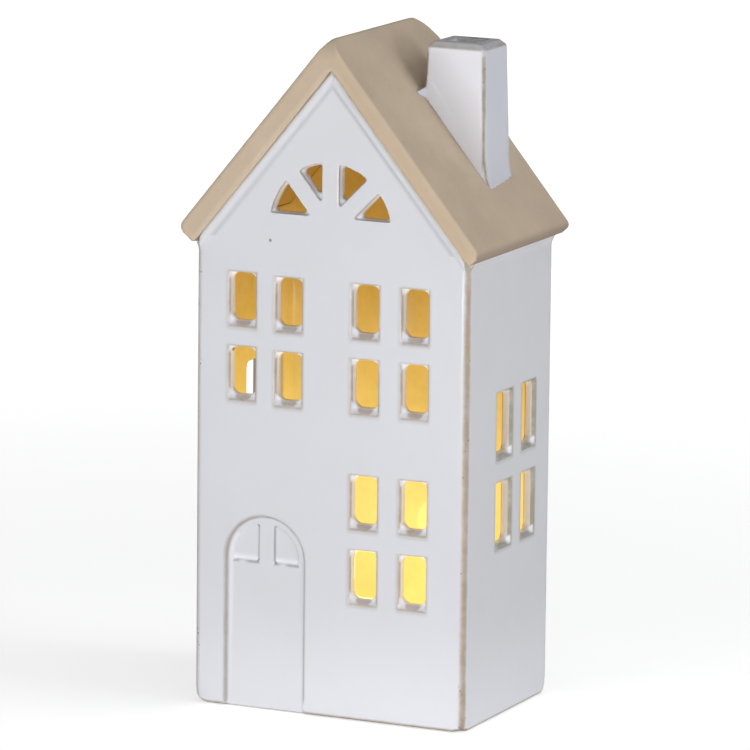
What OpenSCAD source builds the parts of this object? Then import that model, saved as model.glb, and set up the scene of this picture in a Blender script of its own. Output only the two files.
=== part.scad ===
// Ceramic village house with open windows, a bisque roof and a plug-in battery light.
// Units are mm and +Z is up. The origin is the centre of the foot, with the front at -Y and +X to the right.

/* [Walls] */
// width of the front wall
wall_w = 101.6; // [98:0.5:110]
// depth of the side walls
wall_d = 70.2; // [66:0.2:80]
// height of the side walls, up to the roof's lower face
eave_z = 160; // [156:0.2:170]
// height of the gable's peak, up to the roof's lower face
peak_z = 222; // [216:0.2:230]
// thickness of the cast walls
wall_t = 4; // [3.5:0.1:5]
// rounding of the upright corners
corner_r = 2.5; // [1.5:0.1:3]
// rounding of the bottom edge at the left and the back
foot_r = 3; // [1:0.1:3.2]
// rounding of the bottom edge at the front and the right
foot_front_r = 1.2; // [1:0.1:3.2]
// width of the raised band under the front roof edge
band_w = 3.6; // [2:0.1:5]
// how far the raised band stands out of the gable
band_h = 0.8; // [0.4:0.1:1]

/* [Front windows] */
// width of a front window's opening
win_w = 8.9; // [7.5:0.1:9.5]
// height of its opening
win_h = 16.3; // [14:0.1:17.5]
// top of the openings in the highest row
row_1 = 149.85; // [148:0.05:152]
// top of the second row
row_2 = 124.3; // [122:0.05:127]
// top of the third row, right of the door
row_3 = 84.45; // [83:0.05:87]
// top of the lowest row
row_4 = 58.7; // [57:0.05:61]
// middle of the first column from the left
col_1 = -33.2; // [-35:0.05:-32]
// how much higher the first column sits
col_1_up = 0.6; // [0:0.1:1]
// middle of the second column
col_2 = -15.8; // [-17:0.05:-14]
// middle of the third column
col_3 = 12.7; // [12:0.05:15]
// middle of the fourth column
col_4 = 31.1; // [30:0.05:33]
// width of the sloped edge beside an opening
win_edge = 0.45; // [0.2:0.05:1]
// the same below it
win_sill = 1.55; // [0.2:0.05:2]
// the same above it
win_head = 0.3; // [0.2:0.05:1]
// depth of the sloped edges
edge_depth = 1.5; // [0.8:0.1:2]
// corner rounding of the opening behind it
win_r = 2.6; // [1:0.1:3.2]

/* [Side windows] */
// width of the openings in the front column of the right wall
side_w_1 = 11.7; // [8:0.1:12]
// width of those in its back column
side_w_2 = 10; // [8:0.1:11]
// height of a side opening
side_h = 20.8; // [17:0.1:22]
// middle of the front column
side_col_1 = -4.3; // [-6:0.1:-2]
// middle of the back column
side_col_2 = 15.7; // [14:0.1:17]
// top of the openings in the upper row
side_row_1 = 111.9; // [109:0.1:113]
// top of those in the lower row
side_row_2 = 80.9; // [78:0.1:82]
// width of the sloped edge beside and above a side opening
side_edge = 0.6; // [0.2:0.05:1]
// the same below it
side_sill = 1.15; // [0.2:0.05:1.6]
// middle of the front column in the left wall
left_col_1 = 2.7; // [0:0.1:4]
// middle of the back column in the left wall
left_col_2 = 20.2; // [18:0.1:23]
// how much higher the left wall's windows are
left_up = 1.6; // [0:0.1:4]
// corner rounding of a side opening behind its sloped edge
side_r = 2.2; // [1:0.1:3]

/* [Fan light] */
// middle of the fan, across the front
fan_x = -0.7; // [-2:0.1:2]
// height of the fan's centre
fan_z = 167.8; // [166:0.1:169]
// radius of the fan
fan_r = 22.6; // [21:0.1:23]
// height of the fan's flat lower edge
fan_base = 172; // [171:0.1:173]
// width of the three bars
fan_bar = 6.2; // [5:0.1:7]
// slope of the left bar, from the horizontal
fan_left = 51; // [46:0.5:54]
// slope of the right bar, from the horizontal
fan_right = 45.5; // [42:0.5:54]
// depth to which the panes keep their full size
fan_face = 1.6; // [1.2:0.1:2.4]

/* [Door] */
// middle of the door, across the front
door_x = -24.05; // [-27:0.1:-20]
// half width of the door
door_hw = 14.75; // [13:0.05:16]
// height where its arch starts
door_spring = 52.4; // [49:0.1:53]
// depth of the door recess
door_depth = 1.4; // [0.8:0.1:1.6]
// extra depth of its two blind panes
pane_depth = 0.8; // [0.4:0.1:1]

/* [Roof] */
// thickness of the left slope, square to it
roof_left_t = 7.9; // [5:0.1:9]
// thickness of the right slope
roof_t = 5.6; // [5:0.1:9]
// overhang at the front
roof_front = 2.4; // [1.8:0.1:4]
// overhang at the back
roof_back = 5.2; // [0.6:0.1:6]
// rounding along the ridge
ridge_r = 0.5; // [0.4:0.1:5]
// rounding of the roof's upper front edges
roof_edge_r = 1.5; // [0.8:0.1:3]
// rounding of its upper back edges
roof_back_r = 2; // [0.8:0.1:4]
// rounding of the ridge's front end, seen from the side
ridge_front_r = 8; // [1:0.1:10]
// rounding of the ridge's back end
ridge_back_r = 13; // [1:0.1:15]
// rounding of its eaves
eave_r = 2.6; // [1:0.1:4]

/* [Chimney] */
// middle of the chimney, across the front
chim_x = 27.9; // [26:0.05:31]
// middle of the chimney, front to back
chim_y = 11.5; // [0:0.1:12]
// height of the chimney's top
chim_top = 228.6; // [222:0.2:231]
// width of the chimney at its top
chim_w = 21.5; // [20:0.1:23]
// depth of the chimney at its top
chim_d = 19.4; // [16:0.1:21]
// widening of each side, in mm for every mm of height
chim_taper_x = 0.026; // [0.01:0.001:0.045]
// the same, front to back
chim_taper_y = 0.03; // [0.01:0.001:0.04]
// rounding of the chimney's edges
chim_r = 1.5; // [1.2:0.1:2.6]
// height of the softer part at its top
chim_dome = 1.2; // [0.4:0.1:2]
// how far its foot spreads down the slope
foot_spread = 1.5; // [0.5:0.1:3]
// how much further it spreads at the front than in the middle
foot_skew = 1.3; // [0:0.1:1.5]
// width of the flue
flue_w = 12.3; // [10:0.1:13]
// depth of the flue
flue_d = 10.6; // [9:0.1:12]

/* [Floor] */
// height of the floor plate's lower face above the foot
floor_z = 4; // [4:0.1:5]
// thickness of the floor plate
floor_t = 4; // [3.5:0.1:4.5]
// radius of the hole for the light
hole_r = 23; // [22.9:0.1:24]

/* [Light] */
// radius of the light's housing
cup_r = 21.45; // [21.4:0.01:21.47]
// radius of the flange that it is pulled by
flange_r = 26; // [25.5:0.1:27]
// height of the lens cap's top
lens_top = 31; // [30:0.1:32]
// radius of the frosted dome at its foot
dome_r = 13; // [11:0.1:14]

/* [Hidden] */
$fn = 72;
rise = peak_z - eave_z;
half_w = wall_w / 2;
half_d = wall_d / 2;
win_tops = [row_1, row_2, row_3, row_4];
win_cols = [col_1, col_2, col_3, col_4];
pitch = atan(rise / half_w);
// unit vector square to the right slope, in X and Z
nx = sin(pitch);
nz = cos(pitch);
// the two slopes differ in thickness, so the ridge is beside the middle
ridge_x = (roof_t - roof_left_t) / (2 * nx);
ridge_z = peak_z + (roof_t + roof_left_t) / (2 * nz);
ridge_top = ridge_z - ridge_r * (1 / nz - 1);
roof_y0 = -half_d - roof_front;
roof_y1 = half_d + roof_back;
lip = 0.3;
// small step between a sloped edge and the opening behind it
ledge = 0.15;
// the roof reaches further to the left and to the back, and the house is moved so that its outline, with
// the roof, is centred on the origin
left_r = eave_r + 0.8;
off_x = (roof_left_t * nx - left_r * (nx + nz - 1) - roof_t * nx + eave_r * (nx + nz - 1)) / 2;
off_y = -(roof_y0 + roof_y1) / 2;
// hairline between pieces that sit on each other along the slope
seam = 0.02;
in_w = half_w - wall_t;
in_d = half_d - wall_t;
z_board = 13;
z_floor_top = 2.9;
cap_z = 20;

clay = [0.93, 0.93, 0.95];
bisque = [0.72, 0.62, 0.51];

// the piece that is drawn

// Helpers for outlines with rounded corners, where a point is [x, y, corner radius]
function unit(v) = v / norm(v);
function flat(p) = [p[0], p[1]];
function before(p, i) = unit(flat(p[(i + len(p) - 1) % len(p)]) - flat(p[i]));
function after(p, i) = unit(flat(p[(i + 1) % len(p)]) - flat(p[i]));
function half_angle(p, i) = acos(before(p, i) * after(p, i)) / 2;
function trimmed(p, i) = p[i][2] / tan(half_angle(p, i));
function ends(p, i) = p[i][2] == 0
    ? [flat(p[i])]
    : [flat(p[i]) + before(p, i) * trimmed(p, i), flat(p[i]) + after(p, i) * trimmed(p, i)];
function middle(p, i) = flat(p[i]) + unit(before(p, i) + after(p, i)) * p[i][2] / sin(half_angle(p, i));

module soft_outline(p) {
    polygon([for (i = [0 : len(p) - 1]) each ends(p, i)]);
    for (i = [0 : len(p) - 1])
        if (p[i][2] > 0)
            translate(middle(p, i)) circle(r = p[i][2]);
}

// The same for outlines with sloped sides, with each rounded corner drawn in short steps
function heading(v) = atan2(v.y, v.x);
function turned(a) = a > 180 ? a - 360 : a < -180 ? a + 360 : a;
function stepped(p, i) = p[i][2] == 0
    ? [flat(p[i])]
    : let (m = middle(p, i), e = ends(p, i), a0 = heading(e[0] - m), da = turned(heading(e[1] - m) - a0))
        [for (k = [0 : 8]) m + p[i][2] * [cos(a0 + da * k / 8), sin(a0 + da * k / 8)]];

module sloped_outline(p) {
    polygon([for (i = [0 : len(p) - 1]) each stepped(p, i)]);
}

module soft_rect(w, h, r) {
    soft_outline([[-w / 2, -h / 2, r], [w / 2, -h / 2, r], [w / 2, h / 2, r], [-w / 2, h / 2, r]]);
}

// A front-view outline made solid from y = from to y = upto
module along_y(from, upto) {
    translate([0, upto, 0]) rotate([90, 0, 0]) linear_extrude(upto - from) children();
}

// A right-view outline, drawn as [y, z], made solid from x = from to x = upto
module along_x(from, upto) {
    translate([from, 0, 0]) rotate([90, 0, 90]) linear_extrude(upto - from) children();
}

// Puts a piece of the house in its place
module placed() {
    translate([off_x, off_y, 0]) children();
}

// Outer shape of the wall casting
module wall_block() {
    intersection() {
        linear_extrude(peak_z + 1) soft_rect(wall_w, wall_d, corner_r);
        along_y(-half_d - 1, half_d + 1)
            soft_outline([[-half_w, 0, foot_r], [half_w, 0, foot_front_r], [half_w, eave_z, 0],
                [0, peak_z, 0], [-half_w, eave_z, 0]]);
        along_x(-half_w - 1, half_w + 1)
            soft_outline([[-half_d, 0, foot_front_r], [half_d, 0, foot_r], [half_d, peak_z + 2, 0],
                [-half_d, peak_z + 2, 0]]);
    }
}

// Raised band under the front roof edge
module gable_band() {
    drop = band_w / nz;
    end_x = half_w - 1.2;
    end_z = eave_z + 1.2 * rise / half_w;
    along_y(-half_d - band_h, -half_d + 0.5)
        polygon([[-end_x, end_z], [0, peak_z], [end_x, end_z], [end_x, end_z - drop * 0.6],
            [0, peak_z - drop], [-end_x, end_z - drop * 0.6]]);
}

// A window cut into a wall whose outer face is at y = 0 and whose inside is at +y, centred on x, with its
// top at z = 0: a sloped edge with sharp corners, then an opening of w by h with corner radius r
module window_cut(w, h, r, edge, sill, head) {
    e = edge_depth;
    a = w / 2 + ledge;
    intersection() {
        translate([0, 0, -h - 6]) linear_extrude(h + 12)
            polygon([[-a - 2 * edge, -e], [a + 2 * edge, -e], [a, e], [-a, e]]);
        along_x(-w, w)
            polygon([[-e, ledge + 2 * head], [e, ledge], [e, -h - ledge], [-e, -h - ledge - 2 * sill]]);
    }
    translate([0, 0, -h / 2]) along_y(0.5, wall_t + 1) soft_rect(w, h, r);
}

// The window in the right wall at y, with its top at z, and its fellow in the left wall at left_y
module side_pair(y, left_y, z, w) {
    translate([half_w, y, z]) rotate([0, 0, 90])
        window_cut(w, side_h, side_r, side_edge, side_sill, side_edge);
    translate([-half_w, left_y, z + left_up]) rotate([0, 0, -90])
        window_cut(w, side_h, side_r, side_edge, side_sill, side_edge);
}

// Points of the fan light: where a line beside a bar meets the rim or the flat base. The bar runs at angle a
// from the fan's centre, s is the line's distance to its left, and q is the rim's radius
function rim_point(a, s, q) = [fan_x, fan_z] + sqrt(q * q - s * s) * [cos(a), sin(a)] + s * [-sin(a), cos(a)];
function line_point(a, s, t) = [fan_x, fan_z] + t * [cos(a), sin(a)] + s * [-sin(a), cos(a)];
function base_point(a, s, zb) = line_point(a, s, (zb - fan_z - s * cos(a)) / sin(a));
function bearing(p) = atan2(p.y - fan_z, p.x - fan_x);

// Pane outline from its inner corner and the two ends of its curved side, with corner radius r
module pane_outline(corner, from, upto, q, r) {
    a0 = bearing(from);
    a1 = bearing(upto);
    function on_rim(f) = [fan_x, fan_z] + q * [cos(a0 + (a1 - a0) * f), sin(a0 + (a1 - a0) * f)];
    m1 = on_rim(0.3);
    m2 = on_rim(0.7);
    sloped_outline([[corner.x, corner.y, r], [from.x, from.y, r], [m1.x, m1.y, 0], [m2.x, m2.y, 0],
        [upto.x, upto.y, r]]);
}

// The four panes, drawn in by "inset" from their full size
module fan_panes(inset, r) {
    b = fan_bar / 2 + inset;
    q = fan_r - inset;
    zb = fan_base + inset;
    al = 180 - fan_left;
    ar = fan_right;
    reach = sqrt(q * q - (zb - fan_z) * (zb - fan_z));
    pane_outline(base_point(al, b, zb), [fan_x - reach, zb], rim_point(al, b, q), q, r);
    tl = -b * (1 + sin(al)) / cos(al);
    tr = b * (1 + sin(ar)) / cos(ar);
    pane_outline(line_point(al, -b, tl), rim_point(al, -b, q), rim_point(90, b, q), q, r);
    pane_outline(line_point(ar, b, tr), rim_point(90, -b, q), rim_point(ar, b, q), q, r);
    pane_outline(base_point(ar, -b, zb), rim_point(ar, -b, q), [fan_x + reach, zb], q, r);
}

// Arched door outline, drawn in by "inset"
module door_outline(inset) {
    translate([door_x, door_spring]) circle(r = door_hw - inset);
    translate([door_x - door_hw + inset, -2]) square([2 * (door_hw - inset), door_spring + 2]);
}

// The two quarter-round blind panes in the door's head
module door_panes() {
    for (side = [-1, 1])
        intersection() {
            translate([door_x, door_spring]) circle(r = door_hw - 2.5);
            translate([door_x + side * 7.65, door_spring + 5.6]) soft_rect(9.7, 14, 0.8);
        }
}

// Wall casting with its openings
module house_walls() {
    color(clay) placed() difference() {
        union() {
            wall_block();
            gable_band();
        }
        translate([0, 0, -1]) linear_extrude(peak_z + 6) soft_rect(2 * in_w, 2 * in_d, 1.5);
        for (row = [0 : 3])
            for (col = [row < 2 ? 0 : 2 : 3])
                translate([win_cols[col], -half_d, win_tops[row] + (col == 0 ? col_1_up : 0)])
                    window_cut(win_w, win_h, win_r, win_edge, win_sill, win_head);
        for (z = [side_row_1, side_row_2]) {
            side_pair(side_col_1, left_col_1, z, side_w_1);
            side_pair(side_col_2, left_col_2, z, side_w_2);
        }
        along_y(-half_d - 1, -half_d + fan_face) fan_panes(0, 0);
        along_y(-half_d + 1, -half_d + wall_t + 1) fan_panes(0.5, 1.1);
        along_y(-half_d - 1, -half_d + door_depth) door_outline(0);
        along_y(-half_d, -half_d + door_depth + pane_depth) door_panes();
    }
}

// Turns a piece drawn flat, with z = 0 on the slope's lower face, onto the right slope
module on_slope() {
    translate([0, 0, peak_z]) rotate([0, pitch, 0]) children();
}

// Flue, all the way through the chimney and the roof
module flue(grow) {
    translate([chim_x, chim_y, 120]) linear_extrude(130) soft_rect(flue_w + grow, flue_d + grow, 2);
}

// Right half of a roof slab of thickness t with its upper edges rounded, still too long at the eaves
module roof_half(t, start) {
    over = t + 0.05;
    intersection() {
        translate([start, -60, 100]) cube([80, 120, 160]);
        on_slope() along_x(-20, 100)
            soft_outline([[roof_y0, -1, 0], [roof_y1, -1, 0], [roof_y1, over, roof_back_r],
                [roof_y0, over, roof_edge_r]]);
    }
}

// Bisque roof slab, with rounded ridge and rounded upper edges
module roof() {
    low_x = half_w + lip;
    low_z = eave_z - lip * rise / half_w + seam;
    color(bisque) placed() difference() {
        intersection() {
            along_y(roof_y0 - 1, roof_y1 + 1)
                sloped_outline([[ridge_x, ridge_z, ridge_r],
                    [low_x + roof_t * nx, low_z + roof_t * nz, eave_r], [low_x, low_z, 0.5],
                    [0, peak_z + seam, 0], [-low_x, low_z, 0.5],
                    [-low_x - roof_left_t * nx, low_z + roof_left_t * nz, left_r]]);
            along_x(-80, 80)
                soft_outline([[roof_y0 - 0.05, 100, 0], [roof_y1 + 0.05, 100, 0],
                    [roof_y1 + 0.05, ridge_top + 0.05, ridge_back_r],
                    [roof_y0 - 0.05, ridge_top + 0.05, ridge_front_r]]);
            union() {
                roof_half(roof_t, ridge_x);
                mirror([1, 0, 0]) roof_half(roof_left_t, -ridge_x);
            }
        }
        flue(1);
    }
}

// Half width and half depth of the chimney at height z
function chim_hx(z) = chim_w / 2 + chim_taper_x * (chim_top - z);
function chim_hy(z) = chim_d / 2 + chim_taper_y * (chim_top - z);
// distance down the right slope of a point at x that is h above its upper face
function down(x, h) = (x - (roof_t + h) * nx) / nz;

// Balls of one layer of the chimney block, drawn in by "inset"
module chimney_layer(z, inset) {
    hx = chim_hx(z) - chim_r - inset;
    hy = chim_hy(z) - chim_r - inset;
    for (sx = [-1, 1])
        for (sy = [-1, 1])
            translate([chim_x + sx * hx, chim_y + sy * hy, z]) sphere(r = chim_r, $fn = 32);
}

// Tapered chimney block with a soft top, without its flue
module chimney_block() {
    hull() {
        chimney_layer(165, 0);
        chimney_layer(chim_top - chim_r - chim_dome, 0);
        chimney_layer(chim_top - chim_r, 1.2);
    }
}

// Thin layer of the chimney's foot at h above the roof, wider by "up" on its uphill side, by "low" on its
// downhill side, with "skew" more at the front, and by "side" at the front and back
module foot_layer(h, up, low, side, skew) {
    u0 = down(chim_x - chim_hx(208) - up, h);
    u1 = down(chim_x + chim_hx(180) + low, h);
    y = chim_hy(194) + side;
    on_slope() translate([0, chim_y, roof_t + h]) linear_extrude(0.2)
        sloped_outline([[u0, -y, 2], [u1 + skew, -y, 2], [u1 - skew, y, 2], [u0, y, 2]]);
}

// Small ball at x and y, h above the right slope's upper face
module slope_ball(x, y, h) {
    translate([x, y, peak_z + roof_t / nz - x * rise / half_w + h]) sphere(r = 0.3, $fn = 24);
}

// Chimney, cut to the roof's slope, with a foot that spreads downhill and a web in its uphill notch
module chimney() {
    left = chim_x - chim_hx(209);
    front = chim_y - chim_hy(209);
    back = chim_y + chim_hy(209);
    color(clay) placed() difference() {
        union() {
            chimney_block();
            hull() {
                foot_layer(-0.2, 0.4, foot_spread, 0.35, foot_skew);
                foot_layer(1.2, 0.1, foot_spread * 0.4, 0.1, foot_skew / 2);
            }
            hull() {
                foot_layer(1.2, 0.1, foot_spread * 0.4, 0.1, foot_skew / 2);
                foot_layer(4.6, -0.4, -0.3, -0.4, 0);
            }
            hull() {
                slope_ball(left - 0.8, front - 3.9, 0);
                slope_ball(left - 1.8, back + 0.3, 0);
                slope_ball(left + 0.6, front + 0.8, 3);
                slope_ball(left + 0.6, back - 0.8, 3);
                slope_ball(left + 2.4, front + 0.8, -1);
                slope_ball(left + 2.4, back - 0.8, -1);
            }
        }
        on_slope() translate([-60, -60, -100]) cube([220, 120, 100 + roof_t + seam]);
        flue(0);
    }
}

// Floor of the casting, with the hole for the light
module base_plate() {
    color(bisque) difference() {
        placed() translate([0, 0, floor_z]) linear_extrude(floor_t) soft_rect(2 * in_w, 2 * in_d, 1.5);
        translate([0, 0, floor_z - 1]) cylinder(r = hole_r, h = floor_t + 2);
    }
}

// Ring with a groove round its outside, pressed into the floor's hole
module grommet() {
    top = floor_z + floor_t;
    color([0.85, 0.84, 0.8]) difference() {
        union() {
            translate([0, 0, floor_z]) cylinder(r = hole_r, h = floor_t);
            translate([0, 0, top]) cylinder(r1 = hole_r + 1.8, r2 = hole_r + 1.2, h = 1);
            translate([0, 0, floor_z - 0.8]) cylinder(r1 = hole_r + 1.4, r2 = hole_r + 1.8, h = 0.8);
        }
        translate([0, 0, floor_z - 2]) cylinder(r = 21.5, h = floor_t + 6);
    }
}

// Sector-shaped block between radii r0 and r1, from z to z + h, centred on angle a
module sector(r0, r1, z, h, a, half) {
    translate([0, 0, z]) linear_extrude(h) difference() {
        intersection() {
            circle(r = r1);
            rotate(a) polygon([[0, 0], [40, -40 * tan(half)], [40, 40 * tan(half)]]);
        }
        circle(r = r0);
    }
}

// Cup with its flange, battery bay, screw posts and switch slot
module lamp_housing() {
    color([0.94, 0.93, 0.9]) difference() {
        union() {
            translate([0, 0, 1.2]) cylinder(r = flange_r - 0.4, h = 0.4);
            translate([0, 0, 1.6]) cylinder(r = flange_r, h = z_floor_top - 1.6);
            difference() {
                translate([0, 0, z_floor_top]) cylinder(r = cup_r, h = cap_z - z_floor_top);
                translate([0, 0, z_floor_top]) cylinder(r = cup_r - 1.5, h = cap_z);
            }
            translate([0, 0, z_floor_top]) cylinder(r = 14.9, h = 7.7);
            for (side = [-1, 1])
                translate([0, side * 16.6, z_floor_top]) cylinder(r = 2.2, h = z_board - z_floor_top);
        }
        // hole for the battery cover, its rim's groove and the bay
        translate([0, 0, 0]) cylinder(r = 12.3, h = 5);
        translate([0, 0, z_floor_top]) cylinder(r = 14, h = 1.2);
        translate([0, 0, 2]) cylinder(r = 10.6, h = 12);
        for (a = [30, 210]) sector(10, 14, 0, 3.4, a, 15);
        // slot for the positive contact
        translate([-12, -1.9, 2]) cube([3, 3.8, 12]);
        // slot for the switch knob
        translate([15.9, -2.7, 0]) cube([1.6, 5.4, 5]);
        // pilot holes and two thumb hollows in the flange
        for (side = [-1, 1]) {
            translate([0, side * 16.6, 6]) cylinder(r = 0.9, h = 8);
            translate([side * (flange_r + 5), 0, 0]) cylinder(r = 7, h = 5);
        }
    }
}

// Frosted cap with its dome
module lamp_lens() {
    rise_h = lens_top - cap_z - 1.4;
    ball = (dome_r * dome_r + rise_h * rise_h) / (2 * rise_h);
    mid = lens_top - ball;
    color([0.97, 0.95, 0.88, 0.7]) difference() {
        union() {
            translate([0, 0, cap_z]) cylinder(r = cup_r - 0.15, h = 1);
            translate([0, 0, cap_z + 1]) cylinder(r1 = cup_r - 0.15, r2 = cup_r - 0.55, h = 0.4);
            intersection() {
                translate([0, 0, mid]) sphere(r = ball);
                translate([0, 0, cap_z]) cylinder(r = dome_r, h = 20);
            }
            difference() {
                translate([0, 0, cap_z - 2.4]) cylinder(r = cup_r - 1.55, h = 2.4);
                translate([0, 0, cap_z - 3]) cylinder(r = cup_r - 2.5, h = 4);
            }
        }
        intersection() {
            translate([0, 0, mid]) sphere(r = ball - 1.2);
            translate([0, 0, cap_z - 5]) cylinder(r = dome_r - 1, h = 30);
        }
        translate([0, 0, cap_z - 5]) cylinder(r = cup_r - 2.5, h = 5);
    }
}

// Light-emitting diode: rim, body and round tip
module led() {
    color([1, 0.95, 0.75]) {
        translate([0, 0, 16]) cylinder(r = 2.9, h = 1);
        translate([0, 0, 17]) cylinder(r = 2.5, h = 5);
        translate([0, 0, 22]) intersection() {
            sphere(r = 2.5);
            translate([0, 0, 5]) cube(10, center = true);
        }
    }
}

// Leads of the diode and of the resistor, through the board
module board_leads() {
    color([0.75, 0.75, 0.77]) {
        for (side = [-1, 1]) {
            translate([side * 1.27, 0, 12.2]) cylinder(r = 0.3, h = 3.8, $fn = 24);
            translate([7, side * 4, 12.2]) cylinder(r = 0.3, h = 3.35, $fn = 24);
            translate([7, side * 2, 15.25]) rotate([side > 0 ? -90 : 90, 0, 0])
                cylinder(r = 0.3, h = 2.3, $fn = 24);
        }
    }
}

// Round board with its holes
module circuit_board() {
    color([0.16, 0.36, 0.24]) difference() {
        translate([0, 0, z_board]) cylinder(r = 19.2, h = 1.2);
        for (side = [-1, 1]) {
            translate([0, side * 16.6, z_board - 1]) cylinder(r = 1.05, h = 4);
            translate([side * 1.27, 0, z_board - 1]) cylinder(r = 0.45, h = 4, $fn = 24);
            translate([7, side * 4, z_board - 1]) cylinder(r = 0.45, h = 4, $fn = 24);
        }
        for (y = [-2.5, 0, 2.5])
            translate([16.7, y, z_board - 1]) cylinder(r = 0.55, h = 4, $fn = 24);
    }
}

// Resistor that limits the diode's current
module resistor() {
    color([0.82, 0.72, 0.52]) {
        translate([7, 2, 15.25]) rotate([90, 0, 0]) cylinder(r = 0.85, h = 4);
        for (y = [-2, 1])
            translate([7, y + 1, 15.25]) rotate([90, 0, 0]) cylinder(r = 1, h = 1);
    }
}

// Two screws that hold the board on its posts
module board_screws() {
    color([0.7, 0.7, 0.72])
        for (side = [-1, 1])
            difference() {
                union() {
                    translate([0, side * 16.6, 7]) cylinder(r = 0.9, h = 7.2, $fn = 32);
                    translate([0, side * 16.6, z_board + 1.2]) cylinder(r = 1.9, h = 0.7);
                    translate([0, side * 16.6, z_board + 1.9]) cylinder(r1 = 1.9, r2 = 1.3, h = 0.5);
                }
                translate([-1.1, side * 16.6 - 0.2, z_board + 1.6]) cube([2.2, 0.4, 2]);
                translate([-0.2, side * 16.6 - 1.1, z_board + 1.6]) cube([0.4, 2.2, 2]);
            }
}

// Slide switch under the board, open below for its knob
module switch_body() {
    color([0.6, 0.61, 0.63]) difference() {
        translate([15, -4.2, z_floor_top]) cube([3.4, 8.4, 3.5]);
        translate([15.9, -3.3, z_floor_top - 1]) cube([1.6, 6.6, 2.6]);
    }
}

// Three pins from the switch up through the board
module switch_pins() {
    color([0.8, 0.7, 0.4])
        for (y = [-2.5, 0, 2.5])
            translate([16.4, y - 0.3, z_floor_top + 3.5]) cube([0.6, 0.6, 8.6]);
}

// Knob that stands out below the flange
module switch_knob() {
    color([0.25, 0.25, 0.27]) difference() {
        translate([16.1, 0.3, 0.9]) cube([1.2, 2, 3.2]);
        for (y = [0.75, 1.25, 1.75])
            translate([16, y - 0.1, 0.5]) cube([1.4, 0.2, 0.6]);
    }
}

// Spring leaf on the upper cell
module negative_contact() {
    color([0.8, 0.78, 0.7]) {
        translate([-5, -1.5, 9.4]) cube([10, 3, 0.3]);
        translate([4.7, -1.5, 9.7]) cube([0.3, 3, z_board - 9.7]);
    }
}

// Bent strip that touches the lower cell's side
module positive_contact() {
    color([0.8, 0.78, 0.7]) {
        translate([-10.3, -1.5, 3.4]) cube([0.3, 3, 2]);
        translate([-11.5, -1.5, 5.1]) cube([1.2, 3, 0.3]);
        translate([-11.5, -1.5, 5.4]) cube([0.3, 3, z_board - 5.4]);
    }
}

// Coin cell: can with a rounded lower edge and a narrower cap on top
module coin_cell(z) {
    color([0.78, 0.78, 0.8]) {
        translate([0, 0, z]) cylinder(r1 = 9.7, r2 = 10, h = 0.3);
        translate([0, 0, z + 0.3]) cylinder(r = 10, h = 2.5);
        translate([0, 0, z + 2.8]) cylinder(r = 8.6, h = 0.4);
    }
}

module upper_cell() {
    coin_cell(6.2);
}

module lower_cell() {
    coin_cell(3);
}

// Cover that turns out with a coin
module battery_cover() {
    color([0.94, 0.93, 0.9]) difference() {
        union() {
            translate([0, 0, 1.2]) cylinder(r = 12, h = 1.6);
            for (a = [0, 180]) {
                sector(10.9, 11.9, 2.6, 1.2, a, 12);
                sector(10.9, 13.6, 3, 0.8, a, 12);
            }
        }
        translate([0, 0, 0.2]) intersection() {
            translate([-8, -0.9, 0]) cube([16, 1.8, 1.9]);
            cylinder(r = 7.6, h = 1.9);
        }
    }
}

house_walls();
roof();
chimney();
base_plate();
grommet();
lamp_housing();
lamp_lens();
led();
board_leads();
circuit_board();
resistor();
board_screws();
switch_body();
switch_pins();
switch_knob();
negative_contact();
positive_contact();
upper_cell();
lower_cell();
battery_cover();
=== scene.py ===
import bmesh
import bpy
import numpy as np
from mathutils import Matrix, Vector


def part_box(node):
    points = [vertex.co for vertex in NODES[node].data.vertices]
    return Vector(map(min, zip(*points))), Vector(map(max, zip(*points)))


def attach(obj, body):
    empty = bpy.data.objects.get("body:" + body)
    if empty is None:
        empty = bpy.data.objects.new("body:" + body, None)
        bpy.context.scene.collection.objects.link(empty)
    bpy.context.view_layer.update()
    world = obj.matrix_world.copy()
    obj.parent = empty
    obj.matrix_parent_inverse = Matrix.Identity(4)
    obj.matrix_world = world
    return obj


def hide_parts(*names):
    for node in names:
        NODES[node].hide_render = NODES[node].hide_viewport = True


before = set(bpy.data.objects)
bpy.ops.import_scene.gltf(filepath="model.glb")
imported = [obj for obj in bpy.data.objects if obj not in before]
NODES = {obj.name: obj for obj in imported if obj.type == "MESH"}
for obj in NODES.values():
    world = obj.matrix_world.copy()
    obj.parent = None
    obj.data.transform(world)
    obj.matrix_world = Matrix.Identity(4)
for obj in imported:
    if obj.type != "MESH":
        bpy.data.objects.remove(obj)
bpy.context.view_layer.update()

MM = 0.001
WELD = 2e-6

# Main sizes, from the frame
WALL_LO, WALL_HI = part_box("house_walls")
ROOF_LO, ROOF_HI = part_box("roof")
CHIM_LO, CHIM_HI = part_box("chimney")
FLOOR_LO, FLOOR_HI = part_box("base_plate")
PEAK_Z = WALL_HI[2]
EAVE_Z = ROOF_LO[2]
MID_X = (WALL_HI[0] + WALL_LO[0]) / 2
HALF_W = (WALL_HI[0] - WALL_LO[0]) / 2
BACK_Y = WALL_HI[1]
FRONT_Y = FLOOR_LO[1] - (WALL_HI[1] - FLOOR_HI[1])
WALL_T = WALL_HI[1] - FLOOR_HI[1]
GABLE_SLOPE = (PEAK_Z - EAVE_Z - 0.35 * MM) / (HALF_W + 0.3 * MM)


# Mesh tools

CRUMB = 400

def links(mesh):
    n = len(mesh.vertices)
    e = np.empty(len(mesh.edges) * 2, dtype=np.int32)
    mesh.edges.foreach_get("vertices", e)
    e = e.reshape(-1, 2)
    deg = np.bincount(e[:, 0], minlength=n) + np.bincount(e[:, 1], minlength=n)
    return e, np.maximum(deg, 1)


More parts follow.
